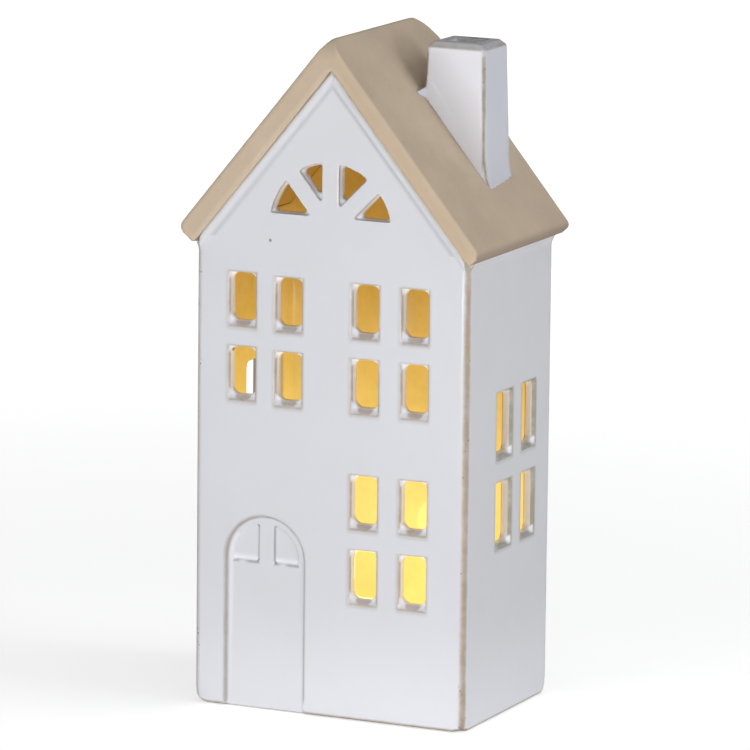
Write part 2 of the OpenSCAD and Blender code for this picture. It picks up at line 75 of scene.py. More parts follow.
def averaged(co, e, deg):
    n = len(co)
    out = np.empty_like(co)
    for k in range(co.shape[1]):
        out[:, k] = (np.bincount(e[:, 0], co[e[:, 1], k], n) + np.bincount(e[:, 1], co[e[:, 0], k], n)) / deg
    return out


def read_points(mesh):
    co = np.empty(len(mesh.vertices) * 3)
    mesh.vertices.foreach_get("co", co)
    return co.reshape(-1, 3)


def read_normals(mesh):
    nn = np.empty(len(mesh.vertices) * 3)
    mesh.vertices.foreach_get("normal", nn)
    return nn.reshape(-1, 3)


def write_points(mesh, co):
    mesh.vertices.foreach_set("co", np.ascontiguousarray(co, dtype=np.float32).ravel())
    mesh.update()


def store(mesh, name, values):
    a = mesh.attributes.new(name, "FLOAT", "POINT")
    a.data.foreach_set("value", np.ascontiguousarray(values, dtype=np.float32))


def soft_step(v, lo, hi):
    return np.clip((v - lo) / (hi - lo), 0.0, 1.0)


def prism(bm, outline, axis, a0, a1):
    """Closed prism of an outline between two places on an axis; its points miss that axis."""
    def vert(p, k):
        q = list(p)
        q.insert(axis, k)
        return bm.verts.new(q)
    a = [vert(p, a0) for p in outline]
    b = [vert(p, a1) for p in outline]
    n = len(outline)
    bm.faces.new(a)
    bm.faces.new(b[::-1])
    for i in range(n):
        bm.faces.new((a[i], b[i], b[(i + 1) % n], a[(i + 1) % n]))


def drop_crumbs(mesh):
    """Deletes the loose crumbs that a remesh leaves at an edge thinner than its grid."""
    e, deg = links(mesh)
    label = np.arange(len(deg))
    while True:
        low = np.minimum(label[e[:, 0]], label[e[:, 1]])
        new = label.copy()
        np.minimum.at(new, e[:, 0], low)
        np.minimum.at(new, e[:, 1], low)
        new = new[new]
        if (new == label).all():
            break
        label = new
    crumbs = np.flatnonzero(np.bincount(label, minlength=len(label))[label] < CRUMB)
    if len(crumbs):
        bm = bmesh.new()
        bm.from_mesh(mesh)
        bm.verts.ensure_lookup_table()
        bmesh.ops.delete(bm, geom=[bm.verts[i] for i in crumbs], context="VERTS")
        bm.to_mesh(mesh)
        bm.free()


def fired_copy(node, name, voxel, smooth, extra=None):
    """New piece from a CAD node's surface, remeshed and softened as fired clay is."""
    bm = bmesh.new()
    bm.from_mesh(NODES[node].data)
    bmesh.ops.remove_doubles(bm, verts=bm.verts, dist=WELD)
    if extra:
        extra(bm)
    bmesh.ops.recalc_face_normals(bm, faces=bm.faces)
    raw = bpy.data.meshes.new(name + "_raw")
    bm.to_mesh(raw)
    bm.free()
    tmp = bpy.data.objects.new(name + "_raw", raw)
    bpy.context.scene.collection.objects.link(tmp)
    mod = tmp.modifiers.new("remesh", "REMESH")
    mod.mode = "VOXEL"
    mod.voxel_size = voxel
    dg = bpy.context.evaluated_depsgraph_get()
    dg.update()
    mesh = bpy.data.meshes.new_from_object(tmp.evaluated_get(dg))
    bpy.data.objects.remove(tmp)
    bpy.data.meshes.remove(raw)
    mesh.name = name
    drop_crumbs(mesh)
    e, deg = links(mesh)
    co = read_points(mesh)
    for k in range(smooth):
        co = co + 0.55 * (averaged(co, e, deg) - co)
        co = co - 0.575 * (averaged(co, e, deg) - co)
    write_points(mesh, co)
    for p in mesh.polygons:
        p.use_smooth = True
    mesh.materials.clear()
    obj = bpy.data.objects.new(name, mesh)
    bpy.context.scene.collection.objects.link(obj)
    return obj


def rim_of(mesh, steps):
    """How far each point stands out of its averaged surroundings, in mm: above 0 along convex edges."""
    e, deg = links(mesh)
    co = read_points(mesh)
    soft = co
    for k in range(steps):
        soft = averaged(soft, e, deg)
    return ((co - soft) * read_normals(mesh)).sum(axis=1) / MM


def cad_triangles(node):
    """Welded points and triangles of a CAD node."""
    bm = bmesh.new()
    bm.from_mesh(NODES[node].data)
    bmesh.ops.remove_doubles(bm, verts=bm.verts, dist=WELD)
    bmesh.ops.triangulate(bm, faces=bm.faces)
    bm.verts.index_update()
    co = np.array([v.co[:] for v in bm.verts])
    tri = np.array([[v.index for v in f.verts] for f in bm.faces])
    bm.free()
    return co, tri


def hole_boxes(co, tri, axis, place, largest):
    """Boxes round the holes in the flat face at one place on an axis, from the loops of its open edges."""
    flat = tri[(np.abs(co[tri, axis] - place) < 5 * WELD).all(axis=1)]
    e = np.concatenate([flat[:, [0, 1]], flat[:, [1, 2]], flat[:, [2, 0]]])
    _, first, count = np.unique(np.sort(e, axis=1), axis=0, return_index=True, return_counts=True)
    ahead = {}
    for i, j in e[first[count == 1]]:
        ahead.setdefault(int(i), []).append(int(j))
    boxes = []
    while ahead:
        at = next(iter(ahead))
        loop = []
        while at in ahead:
            loop.append(at)
            after = ahead[at].pop()
            if not ahead[at]:
                del ahead[at]
            at = after
        lo, hi = co[loop].min(axis=0), co[loop].max(axis=0)
        if (hi - lo).max() < largest and len(loop) > 2:
            boxes.append((lo, hi))
    return boxes


# Shader tools

class Shade:
    """Short calls for building one material's nodes."""

    def __init__(self, name):
        self.mat = bpy.data.materials.new(name)
        self.mat.use_nodes = True
        self.t = self.mat.node_tree
        self.t.nodes.clear()
        self.out = self.t.nodes.new("ShaderNodeOutputMaterial")
        self.bsdf = self.t.nodes.new("ShaderNodeBsdfPrincipled")
        self.t.links.new(self.bsdf.outputs[0], self.out.inputs[0])

    def link(self, a, b):
        self.t.links.new(a, b)

    def put(self, sock, value):
        if isinstance(value, bpy.types.NodeSocket):
            self.link(value, sock)
        elif value is not None:
            sock.default_value = value

    def set(self, **kw):
        for k, v in kw.items():
            self.put(self.bsdf.inputs[k.replace("_", " ")], v)
        return self

    def attr(self, name):
        n = self.t.nodes.new("ShaderNodeAttribute")
        n.attribute_name = name
        return n.outputs["Fac"]

    def point(self):
        n = self.t.nodes.new("ShaderNodeTexCoord")
        return n.outputs["Object"]

    def axis(self, k):
        n = self.t.nodes.new("ShaderNodeSeparateXYZ")
        self.link(self.point(), n.inputs[0])
        return n.outputs[k]

    def noise(self, scale, detail=2.0, rough=0.5, vec=None, stretch=None):
        n = self.t.nodes.new("ShaderNodeTexNoise")
        n.inputs["Scale"].default_value = scale
        n.inputs["Detail"].default_value = detail
        n.inputs["Roughness"].default_value = rough
        src = vec or self.point()
        if stretch:
            m = self.t.nodes.new("ShaderNodeMapping")
            m.inputs["Scale"].default_value = stretch
            self.link(src, m.inputs["Vector"])
            src = m.outputs[0]
        self.link(src, n.inputs["Vector"])
        return n.outputs["Fac"]

    def cells(self, scale, feature="F1"):
        n = self.t.nodes.new("ShaderNodeTexVoronoi")
        n.feature = feature
        n.inputs["Scale"].default_value = scale
        self.link(self.point(), n.inputs["Vector"])
        return n.outputs["Distance"]

    def math(self, op, a, b=None, c=None, clamp=False):
        n = self.t.nodes.new("ShaderNodeMath")
        n.operation = op
        n.use_clamp = clamp
        for i, v in enumerate((a, b, c)):
            if v is not None:
                self.put(n.inputs[i], v)
        return n.outputs[0]

    def ramp(self, value, lo, hi, out_lo=0.0, out_hi=1.0, smooth=True):
        n = self.t.nodes.new("ShaderNodeMapRange")
        n.interpolation_type = "SMOOTHSTEP" if smooth else "LINEAR"
        self.put(n.inputs["Value"], value)
        n.inputs["From Min"].default_value = lo
        n.inputs["From Max"].default_value = hi
        n.inputs["To Min"].default_value = out_lo
        n.inputs["To Max"].default_value = out_hi
        return n.outputs["Result"]

    def mix(self, fac, a, b, mode="MIX"):
        n = self.t.nodes.new("ShaderNodeMix")
        n.data_type = "RGBA"
        n.blend_type = mode
        self.put(n.inputs[0], fac)
        self.put(n.inputs[6], a if isinstance(a, bpy.types.NodeSocket) else (*a, 1.0))
        self.put(n.inputs[7], b if isinstance(b, bpy.types.NodeSocket) else (*b, 1.0))
        return n.outputs[2]

    def stops(self, value, table):
        """Colour ramp: table is a list of (place from 0 to 1, colour)."""
        n = self.t.nodes.new("ShaderNodeValToRGB")
        r = n.color_ramp
        while len(r.elements) < len(table):
            r.elements.new(0.5)
        for el, (p, c) in zip(r.elements, table):
            el.position = p
            el.color = (*c, 1.0)
        self.put(n.inputs[0], value)
        return n.outputs[0]

    def bump(self, height, distance, strength=1.0, after=None):
        n = self.t.nodes.new("ShaderNodeBump")
        n.inputs["Strength"].default_value = strength
        n.inputs["Distance"].default_value = distance
        self.put(n.inputs["Height"], height)
        if after is not None:
            self.link(after, n.inputs["Normal"])
        return n.outputs[0]

    def spot(self, centre, radius):
        """1 within radius of a place, falling to 0 at its rim."""
        n = self.t.nodes.new("ShaderNodeVectorMath")
        n.operation = "DISTANCE"
        self.link(self.point(), n.inputs[0])
        n.inputs[1].default_value = centre
        return self.ramp(n.outputs["Value"], radius * 0.55, radius, 1.0, 0.0)


# Ceramic materials

GLAZE = (0.752, 0.756, 0.792)
GLAZE_COOL = (0.740, 0.753, 0.830)
GLAZE_THICK = (0.795, 0.800, 0.845)
BREAK_DARK = (0.215, 0.180, 0.135)
THIN_WARM = (0.455, 0.378, 0.302)
THIN_GREY = (0.365, 0.350, 0.280)
# white of thick glaze, also used for painted highlights and the painted floor-bounce light
POOL_AND_PAINTED_LIGHT = (0.910, 0.914, 0.958)
LINE_BROWN = (0.300, 0.160, 0.060)
# grey-blue of the painted shade along creases
CREASE_SHADE = (0.330, 0.335, 0.365)
BISQUE = (0.675, 0.546, 0.410)
BISQUE_DARK = (0.590, 0.470, 0.350)
BISQUE_PALE = (0.725, 0.597, 0.450)


def glaze(name, inside, white=GLAZE, grey=0.0):
    """White glaze. "thin" is how far it thins to a beige, "seam" the dark line where it breaks; the pool attribute
    marks where it is thick and where a highlight is painted white, and the crease attribute marks painted shade.
    """
    s = Shade(name)
    cloud = s.ramp(s.noise(22, 3, 0.55), 0.35, 0.68)
    white = s.mix(s.math("MULTIPLY", cloud, 0.35), white, GLAZE_THICK)
    # painted light: the white is lifted towards the foot, standing in for light bounced up from the floor
    floor_bounce_paint = s.ramp(s.axis(2), 0.0, FLOOR_BOUNCE_TOP, 0.75, 0.0)
    white = s.mix(s.math("MAXIMUM", s.attr("pool_and_highlight"), floor_bounce_paint), white, POOL_AND_PAINTED_LIGHT)
    patchy = s.math("ADD", s.ramp(s.noise(230, 3, 0.6), 0.3, 0.7, 0.78, 1.12), s.ramp(s.noise(60, 2, 0.5), 0.3, 0.7, -0.10, 0.10))
    thin = s.math("MULTIPLY", s.attr("thin"), patchy, clamp=True)
    side = s.math("MULTIPLY", s.ramp(s.axis(0), 0.047, 0.050), s.ramp(s.axis(1), FRONT_Y + 6 * MM, FRONT_Y + 9 * MM))
    beige = s.mix(s.math("MAXIMUM", side, grey), THIN_WARM, THIN_GREY)
    colour = s.mix(thin, white, beige)
    seam = s.math("MULTIPLY", s.attr("seam"), s.ramp(s.noise(180, 2, 0.6), 0.32, 0.55, 0.35, 1.0))
    colour = s.mix(seam, colour, BREAK_DARK)
    # painted shade along creases, recess edges and under the gable band
    colour = s.mix(s.attr("crease_shade"), colour, CREASE_SHADE)
    # a scatter of fine pits along the thin edges, and one pinhole by the left eave
    pits = s.math("MULTIPLY", s.ramp(s.cells(520), 0.13, 0.22, 1.0, 0.0), s.ramp(s.noise(120, 1, 0.5), 0.50, 0.56))
    pits = s.math("MULTIPLY", pits, s.ramp(s.attr("pits"), 0.2, 0.8))
    pits = s.math("MAXIMUM", pits, s.spot(PINHOLE, 0.0007))
    colour = s.mix(s.math("MULTIPLY", pits, 0.8), colour, BREAK_DARK)
    colour = s.mix(s.spot(CORNER_SPOT, 0.0011), colour, LINE_BROWN)
    wear = s.math("MAXIMUM", thin, s.attr("pits"))
    rough = s.math("ADD", s.ramp(s.noise(45, 2, 0.5), 0.3, 0.7, 0.10, 0.17), s.math("MULTIPLY", wear, 0.35))
    nrm = s.bump(s.noise(70, 2, 0.45), 0.00022, 0.55)
    nrm = s.bump(s.noise(420, 2, 0.5), 0.000035, 0.5, nrm)
    s.set(Base_Color=colour, Roughness=rough, Normal=nrm)
    s.set(Coat_Weight=s.math("MULTIPLY", s.math("SUBTRACT", 1.0, wear), 0.35))
    s.bsdf.inputs["Coat Roughness"].default_value = 0.06
    if inside:
        colour = s.mix(s.attr("line"), colour, LINE_BROWN)
        glow_mix(s, colour)
    return s.mat


# height by which the painted floor-bounce light has faded out
FLOOR_BOUNCE_TOP = 0.045

# Light on the inner walls by height, in the colours that the rows of windows show
GLOW_TOP = 0.22
GLOW_TABLE = [(0.00, (0.69, 0.52, 0.134)), (0.30, (0.68, 0.545, 0.155)), (0.48, (0.46, 0.325, 0.072)),
              (0.60, (0.34, 0.215, 0.036)), (0.75, (0.22, 0.125, 0.020)), (1.00, (0.17, 0.090, 0.014))]


def glow_mix(s, colour, dim=1.0):
    inner = s.attr("inner")
    clay = s.mix(s.ramp(s.noise(120, 3, 0.6), 0.3, 0.7), (0.34, 0.24, 0.12), (0.42, 0.30, 0.16))
    s.set(Base_Color=s.mix(inner, colour, clay))
    s.set(Emission_Color=s.stops(s.ramp(s.axis(2), 0.0, GLOW_TOP, smooth=False), GLOW_TABLE))
    patch = s.ramp(s.noise(18, 2, 0.5), 0.3, 0.7, 0.94 * dim, 1.04 * dim)
    s.set(Emission_Strength=s.math("MULTIPLY", inner, patch))


def bisque(name, dim):
    """Unglazed clay: a fine grain, cloudy patches, paler edges and a few iron specks, with painted shade where
    creases are marked.
    """
    s = Shade(name)
    grain = s.noise(900, 4, 0.7)
    mottle = s.noise(55, 4, 0.6)
    colour = s.mix(s.ramp(mottle, 0.32, 0.70), BISQUE_DARK, BISQUE)
    colour = s.mix(s.math("MULTIPLY", s.ramp(s.noise(14, 2, 0.5), 0.35, 0.7), 0.35), colour, BISQUE_PALE)
    colour = s.mix(s.math("MULTIPLY", s.ramp(grain, 0.30, 0.75), 0.22), colour, (0.74, 0.63, 0.50))
    colour = s.mix(s.math("MULTIPLY", s.ramp(s.attr("rim"), 0.05, 0.25), 0.35), colour, BISQUE_PALE)
    colour = s.mix(s.math("MULTIPLY", s.attr("ochre"), 0.5), colour, (0.60, 0.45, 0.30))
    specks = s.math("MULTIPLY", s.ramp(s.cells(420), 0.09, 0.16, 1.0, 0.0), s.ramp(s.noise(130, 1, 0.5), 0.60, 0.66))
    colour = s.mix(s.math("MULTIPLY", specks, 0.45), colour, (0.30, 0.22, 0.15))
    # painted shade on the marked creases
    colour = s.mix(s.math("MULTIPLY", s.attr("crease_shade"), 0.75), colour, (0.36, 0.285, 0.215))
    nrm = s.bump(s.noise(160, 3, 0.6), 0.00010, 0.5)
    nrm = s.bump(grain, 0.00006, 0.7, nrm)
    s.set(Base_Color=colour, Roughness=s.ramp(mottle, 0.3, 0.7, 0.80, 0.94), Normal=nrm)
    s.bsdf.inputs["Specular IOR Level"].default_value = 0.22
    glow_mix(s, colour, dim)
    return s.mat


# Ceramic pieces

def eave_fillet(bm):
    """Glaze that fills the corners between the walls and the roof, at the gables and under the eaves."""
    slope = GABLE_SLOPE
    drop = 1.6 * MM
    far = HALF_W - 2.4 * MM
    for y0, y1 in ((FRONT_Y - 1.4 * MM, FRONT_Y + MM), (BACK_Y - MM, BACK_Y + 1.4 * MM)):
        for side in (-1, 1):
            z = PEAK_Z - 0.1 * MM
            x = MID_X + side * far
            prism(bm, [(MID_X, z), (x, z - slope * far), (x, z - drop - slope * far), (MID_X, z - drop)], 1, y0, y1)
    for side in (-1, 1):
        x = MID_X + side * HALF_W
        prism(bm, [(x - side * 0.3 * MM, EAVE_Z - 2.6 * MM), (x + side * 1.3 * MM, EAVE_Z + 0.7 * MM),
                   (x - side * 0.3 * MM, EAVE_Z + 0.5 * MM)], 1, FRONT_Y + 1.3 * MM, BACK_Y - 1.3 * MM)


def inside_depth(co):
    """Distance in mm out of the room's inner wall planes: below 0 inside the room."""
    dx = np.maximum(FLOOR_LO[0] - co[:, 0], co[:, 0] - FLOOR_HI[0])
    dy = np.maximum(FLOOR_LO[1] - co[:, 1], co[:, 1] - FLOOR_HI[1])
    return np.maximum(dx, dy) / MM


def window_marks(co, marks, boxes, u, depth, edge, sill, radius, side_fade, side_level, far_line):
    """Glaze on each window's edge: thin and beige along the slopes, thick and white in the lower corners, which also
    carry a painted highlight.
    Just outside each window a halo that is partly thin glaze and partly painted shade, wider to the left and below;
    the jambs are whitened as a painted highlight.
    u and z lie in the wall and depth is the distance behind its face; a box is where a window meets the face."""
    z = co[:, 2]
    for u0, u1, z0, z1 in boxes:
        near = np.flatnonzero((u > u0 - 4 * MM) & (u < u1 + 4 * MM) & (z > z0 - 4 * MM) & (z < z1 + 4 * MM)
                              & (depth < WALL_T + 0.4 * MM))
        left, right = (u[near] - u0) / MM, (u1 - u[near]) / MM
        low, high = (z[near] - z0) / MM, (z1 - z[near]) / MM
        d = depth[near] / MM
        reach = edge + radius
        near_side = right if far_line else np.minimum(left, right)
        t = near_side / reach + low / (sill + radius)
        if not far_line:
            t = np.minimum(t, near_side / reach + high / reach + 0.15)
        corner = 1 - soft_step(t, 0.84, 1.04)
        across = np.maximum(np.maximum(-left / 1.5, -right / 1.2), 0)
        along = np.maximum(np.maximum(-high / 0.7, -low / 2.2), 0)
        fall = np.hypot(across, along)
        within = fall < 0.02
        slope = within * (1 - soft_step(d, 1.35, 1.65))
        middle = np.abs(u[near] - (u0 + u1) / 2) / MM
        arch = 0.75 * (1 - soft_step(low / (sill + 0.6) + (middle / 4.7) ** 2, 0.80, 1.15))
        sides = within * (1 - soft_step(d, *side_fade)) * soft_step(low, sill - 0.5, sill + 0.5) * side_level
        face = d < 0.3
        # partly thin glaze, partly painted shade: a soft darkening just outside the window, wider to the left and
        # below
        thin_and_shade_halo = 0.80 * (1 - soft_step(fall, 0.0, 1.0)) ** 1.3 * face * ~within
        thin = np.maximum(np.maximum(sides, slope * arch) * (1 - corner), thin_and_shade_halo)
        if far_line:
            thin = np.maximum(thin, 0.18 * within * soft_step(d, 1.1, 1.8) * (1 - corner) * (right > -0.5))
        marks["thin"][near] = np.maximum(marks["thin"][near], thin)
        # painted highlight: the jambs are whitened, and the lower corners, where the glaze is thick, are whitened
        # further
        jamb_highlight = soft_step(d, 0.9, 1.3) * (1 - soft_step(d, WALL_T / MM - 0.6, WALL_T / MM - 0.2))
        jamb_highlight *= 0.1 if far_line else 0.9
        marks["pool_and_highlight"][near] = np.maximum(marks["pool_and_highlight"][near], np.maximum(jamb_highlight, slope * corner * soft_step(d, 0.25, 0.6)))
        # a dark line just outside the edges except on the left: partly glaze break, partly painted shade
        rim = face * ~within * (fall < 0.30) * np.where(left < 0, 0.0, 0.30)
        marks["seam"][near] = np.maximum(marks["seam"][near], rim)
        if far_line:
            inner = soft_step(d, WALL_T / MM - 0.7, WALL_T / MM - 0.3) * (right < 1.5) * (low > sill)
            marks["line"][near] = np.maximum(marks["line"][near], inner)


def corner_turn(nn, sx, sy):
    """1 where the surface faces straight out of an upright corner, 0.7 where it lies in a wall."""
    flat = np.maximum(np.hypot(nn[:, 0], nn[:, 1]), 1e-6)
    return (nn[:, 0] * sx + nn[:, 1] * sy) / flat * 0.7071


def mark_walls(obj):
    mesh = obj.data
    co = read_points(mesh)
    nn = read_normals(mesh)
    x, y, z = co[:, 0], co[:, 1], co[:, 2]
    marks = {name: np.zeros(len(co)) for name in ("thin", "seam", "pool_and_highlight", "pits", "line", "crease_shade")}
    cad, tri = cad_triangles("house_walls")
    d = (y - FRONT_Y) / MM
    front = hole_boxes(cad, tri, 1, FRONT_Y, 0.03)
    windows = [(lo[0], hi[0], lo[2], hi[2]) for lo, hi in front if hi[2] < EAVE_Z]
    window_marks(co, marks, windows, x, y - FRONT_Y, 0.60, 1.70, 2.6, (0.7, 1.2), 0.80, False)
    for place, sign in ((WALL_HI[0], -1), (WALL_LO[0], 1)):
        holes = hole_boxes(cad, tri, 0, place, 0.03)
        boxes = [tuple(sorted((-sign * lo[1], -sign * hi[1]))) + (lo[2], hi[2]) for lo, hi in holes]
        window_marks(co, marks, boxes, -sign * y, sign * (x - place), 0.75, 0.90, 2.2, (1.15, 1.45), 0.95, True)
    # fan light: a thin line round each pane
    panes = [(lo[0], hi[0], lo[2], hi[2]) for lo, hi in front if lo[2] > EAVE_Z]
    if panes:
        fan = (z > min(p[2] for p in panes) - 2 * MM) & (np.abs(x - MID_X) < max(abs(p[0] - MID_X) for p in panes) + 3 * MM)
        marks["thin"] = np.maximum(marks["thin"], fan * 0.9 * soft_step(d, 0.05, 0.3) * (1 - soft_step(d, 0.5, 1.0)))
    # door: thin glaze along the step of its recess with a line of painted shade on it, a painted highlight as a white
    # bead inside it, painted shade in two lines on the mullion, and at each pane a painted highlight along its bottom
    # with a painted shade line at its lower edge
    door = cad[(np.abs(cad[:, 1] - FRONT_Y - DOOR_DEPTH) < 5 * WELD) & (cad[:, 2] < EAVE_Z / 2)]
    d_lo, d_hi = door.min(axis=0), door.max(axis=0)
    d_mid = (d_lo[0] + d_hi[0]) / 2
    half = (d_hi[0] - d_lo[0]) / 2
    spring = d_hi[2] - half
    off = np.where(z > spring, np.hypot(x - d_mid, z - spring), np.abs(x - d_mid)) / MM - half / MM
    left = x < d_mid
    step = (np.abs(off) < 1.6) & (z < d_hi[2] + 1.5 * MM) & (d < 3.0)
    fade = np.where(left, soft_step(z / MM, 0.6, 1.6), soft_step(z / MM, 3.0, 5.5))
    band = np.where(left, 0.60, 0.20) * (1 - soft_step(np.abs(off - 0.15), 0.35, 0.95))
    marks["thin"] = np.maximum(marks["thin"], step * band * fade)
    # painted shade along the step
    line = (1 - soft_step(np.abs(off), 0.20, 0.55)) * np.where(left, 0.35, 0.85)
    marks["crease_shade"] = np.maximum(marks["crease_shade"], step * line * fade)
    # painted highlight: a white bead inside the recess, on its left side
    wide = 1.05 + 0.7 * (1 - soft_step(z / MM, 2, 16))
    bead_highlight = (off < -0.5) & (off > -0.5 - 2 * wide) & (z < spring + 8 * MM) & left & (d < 3.0) & (z < d_hi[2])
    marks["pool_and_highlight"] = np.maximum(marks["pool_and_highlight"], 0.85 * bead_highlight * (1 - np.abs(off + 0.5 + wide) / wide))
    # painted shade on the mullion's two edges
    mullion = (np.abs(x - d_mid) < 3.7 * MM) * soft_step(d, 1.45, 1.6) * (1 - soft_step(d, 1.9, 2.1))
    marks["crease_shade"] = np.maximum(marks["crease_shade"], (z < d_hi[2]) * (z > spring - 2 * MM) * mullion)
    # painted highlight along each pane's bottom, and painted shade in a line at its lower edge
    for lo, hi in hole_boxes(cad, tri, 1, FRONT_Y + DOOR_DEPTH, 0.03):
        pane = (x > lo[0] - 0.2 * MM) & (x < hi[0] + 0.2 * MM) & (d > 1.2) & (d < 3.0) & (z < hi[2])
        low = (z - lo[2]) / MM
        marks["pool_and_highlight"] = np.maximum(marks["pool_and_highlight"], pane * (low > 0) * (1 - soft_step(low, 1.0, 2.6)))
        part = np.abs((x - lo[0]) / (hi[0] - lo[0]) - 0.35)
        marks["crease_shade"] = np.maximum(marks["crease_shade"], 0.8 * pane * (1 - soft_step(np.abs(low + 0.2), 0.1, 0.6)) * soft_step(part, 0.05, 0.25))
    # upright corners, the front right one most, and the foot
    for cx, sx in ((WALL_LO[0], -1), (WALL_HI[0], 1)):
        for cy, sy in ((FRONT_Y, -1), (BACK_Y, 1)):
            at = (np.abs(x - cx) < 2.8 * MM) & (np.abs(y - cy) < 2.8 * MM)
            turn = corner_turn(nn, sx, sy)
            level = 1.0 if sx > 0 else 0.45
            marks["thin"] = np.maximum(marks["thin"], at * level * soft_step(turn, 0.80, 0.95))
            marks["pits"] = np.maximum(marks["pits"], at * soft_step(turn, 0.75, 0.90))
            marks["seam"] = np.maximum(marks["seam"], at * 0.28 * level * soft_step(turn, 0.97, 0.995))
    # gable: a soft line of painted shade under the raised band, and a thin line where it meets the roof
    under = (PEAK_Z - GABLE_SLOPE * np.abs(x - MID_X) - z) / MM / np.hypot(1, GABLE_SLOPE)
    gable = (d < 0.6) & (nn[:, 1] < -0.3) & (z > EAVE_Z + 2.5 * MM)
    marks["crease_shade"] = np.maximum(marks["crease_shade"], 0.34 * gable * np.exp(-((under - 3.6) / 0.75) ** 2))
    touch = gable * (1 - soft_step(under, 0.4, 1.5))
    marks["thin"] = np.maximum(marks["thin"], 0.55 * touch)
    marks["seam"] = np.maximum(marks["seam"], 0.35 * gable * (1 - soft_step(under, 0.3, 0.9)))
    foot = (z < 3.4 * MM) * soft_step(-nn[:, 2], 0.10, 0.50)
    marks["thin"] = np.maximum(marks["thin"], foot)
    marks["seam"] = np.maximum(marks["seam"], 0.30 * foot * soft_step(-nn[:, 2], 0.35, 0.70))
    for name, values in marks.items():
        store(mesh, name, values)
    store(mesh, "inner", 1.0 - soft_step(inside_depth(co), 0.03, 0.22))


def round_corners(obj):
    """Rounds the lower corners of the walls: the foot rises and the upright edge draws in a little."""
    co = read_points(obj.data)
    low = np.clip(1 - co[:, 2] / (CORNER_REACH * 1.3), 0, 1) ** 2
    for cx, sx in ((WALL_LO[0], -1), (WALL_HI[0], 1)):
        for cy, sy in ((FRONT_Y, -1), (BACK_Y, 1)):
            away = np.hypot(np.maximum((cx - co[:, 0]) * sx, 0), np.maximum((cy - co[:, 1]) * sy, 0))
            near = np.clip(1 - away / CORNER_REACH, 0, 1) ** 1.5
            co[:, 2] += CORNER_LIFT * low * near
            co[:, 0] -= sx * CORNER_DRAW * low * near
            co[:, 1] -= sy * CORNER_DRAW * low * near
    write_points(obj.data, co)


def smooth_foot(obj):
    """Evens out the chimney's flared foot on its downhill side."""
    mesh = obj.data
    e, deg = links(mesh)
    co = read_points(mesh)
    nn = read_normals(mesh)
    low = co[co[:, 0] > CHIM_HI[0] - 4 * MM, 2].min()
    mask = soft_step(nn[:, 0], 0.80, 0.97) * soft_step(co[:, 2], low + 1.5 * MM, low + 4 * MM)
    mask *= (1 - soft_step(co[:, 2], low + 18 * MM, low + 24 * MM)) * (np.abs(nn[:, 1]) < 0.45)
    for k in range(140):
        co = co + (0.5 * mask)[:, None] * (averaged(co, e, deg) - co)
    write_points(mesh, co)


def mark_chimney(obj):
    mesh = obj.data
    co = read_points(mesh)
    nn = read_normals(mesh)
    marks = {name: np.zeros(len(co)) for name in ("thin", "seam", "pool_and_highlight", "pits", "crease_shade")}
    mid = [(CHIM_LO[k] + CHIM_HI[k]) / 2 for k in (0, 1)]
    below = (co[:, 2] - CHIM_HI[2]) / MM
    top = soft_step(below, -4.4, -3.6)
    for sx in (-1, 1):
        for sy in (-1, 1):
            at = ((co[:, 0] - mid[0]) * sx > 5 * MM) & ((co[:, 1] - mid[1]) * sy > 4 * MM) & (nn[:, 2] < 0.5)
            turn = corner_turn(nn, sx, sy)
            marks["thin"] = np.maximum(marks["thin"], at * 0.95 * soft_step(turn, 0.80, 0.94) * (1 - 0.4 * top))
            marks["seam"] = np.maximum(marks["seam"], at * 0.38 * soft_step(turn, 0.97, 0.995) * (1 - top))
            marks["pits"] = np.maximum(marks["pits"], at * soft_step(turn, 0.80, 0.93))
    rim = 0.75 * top * soft_step(nn[:, 2], 0.20, 0.55) * (1 - soft_step(nn[:, 2], 0.86, 0.97))
    rim = rim * (1 - 0.35 * soft_step(below, -1.9, -0.9))
    marks["thin"] = np.maximum(marks["thin"], np.maximum(rim, 0.50 * top * soft_step(nn[:, 2], 0.9, 0.98)))
    marks["seam"] = np.maximum(marks["seam"], 0.40 * soft_step(rim_of(mesh, 6), 0.035, 0.09) * top * soft_step(below, -1.6, -0.6))
    # painted highlight: the chimney's front face is whitened, and the flue's inner walls get the full white
    flue = (np.abs(co[:, 0] - mid[0]) < 6.8 * MM) & (np.abs(co[:, 1] - mid[1]) < 6.0 * MM) & (nn[:, 2] < 0.7)
    marks["pool_and_highlight"] = np.maximum(0.5 * soft_step(-nn[:, 1], 0.4, 0.8), flue * 1.0)
    for name, values in marks.items():
        store(mesh, name, values)


quick_mesh = 1.0
DOOR_DEPTH = 1.4 * MM
PINHOLE = (-0.02216, FRONT_Y, 0.16255)
CORNER_SPOT = (-0.03635, FRONT_Y + 2.0 * MM, 0.12380)

CORNER_REACH = 5.0 * MM
CORNER_LIFT = 1.5 * MM
CORNER_DRAW = 0.9 * MM

walls = fired_copy("house_walls", "walls_glazed", 0.00050 * quick_mesh, 5, eave_fillet)
mark_walls(walls)
round_corners(walls)
walls.data.materials.append(glaze("glaze_white", True))
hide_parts("house_walls")
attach(walls, "house")

roof = fired_copy("roof", "roof_bisque", 0.00075 * quick_mesh, 5)
rc = read_points(roof.data)
rn = read_normals(roof.data)
store(roof.data, "inner", (rn[:, 2] < -0.3) & (inside_depth(rc) < 0))
store(roof.data, "rim", rim_of(roof.data, 6) * (rn[:, 1] < -0.2))
